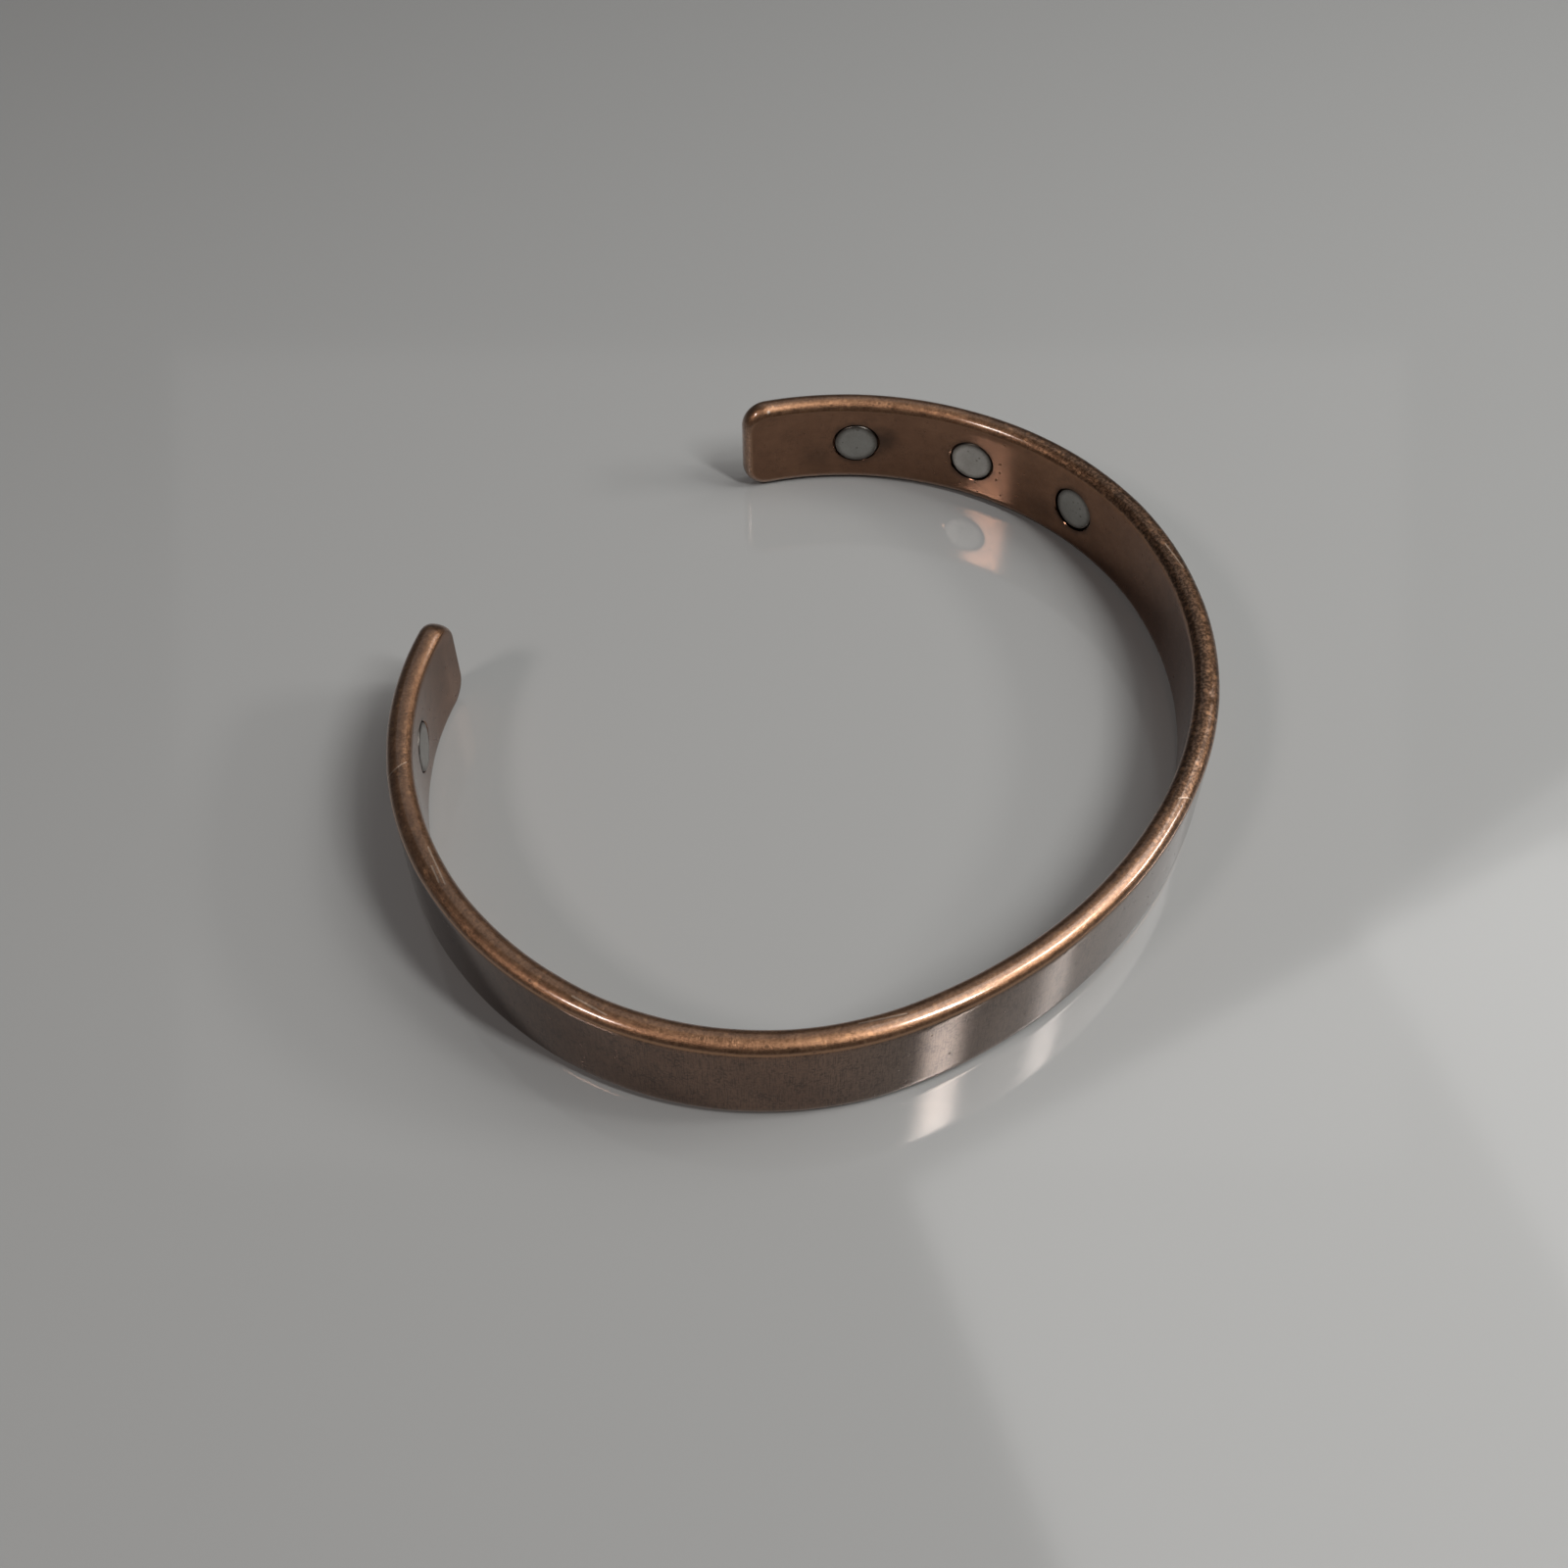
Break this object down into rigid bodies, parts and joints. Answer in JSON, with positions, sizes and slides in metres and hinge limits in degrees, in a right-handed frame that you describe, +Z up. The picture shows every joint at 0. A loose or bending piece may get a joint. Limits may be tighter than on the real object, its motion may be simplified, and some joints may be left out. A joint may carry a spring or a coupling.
{
  "type": "magnetic cuff bracelet",
  "caption": "Copper cuff bracelet: a bent flat band with rounded edges, open at its mouth, with small disc magnets let into the inside of both arms.",
  "frame": {"origin": "middle of the footprint, on the surface that the band's lower edge lies on", "axes": "+Z up, the axis that the wrist goes through; +Y out through the mouth between the two ends; +X to the right arm"},
  "size_m": [0.071, 0.059, 0.009],
  "materials": {
    "copper": "worn copper, brushed along the band and darkened by handling",
    "magnet_plating": "dull nickel plating"
  },
  "bodies": {
    "root": {"cuff_band": "copper", "magnet_1": "magnet_plating", "magnet_2": "magnet_plating", "magnet_3": "magnet_plating", "magnet_4": "magnet_plating", "magnet_5": "magnet_plating", "magnet_6": "magnet_plating"}
  },
  "joints": []
}
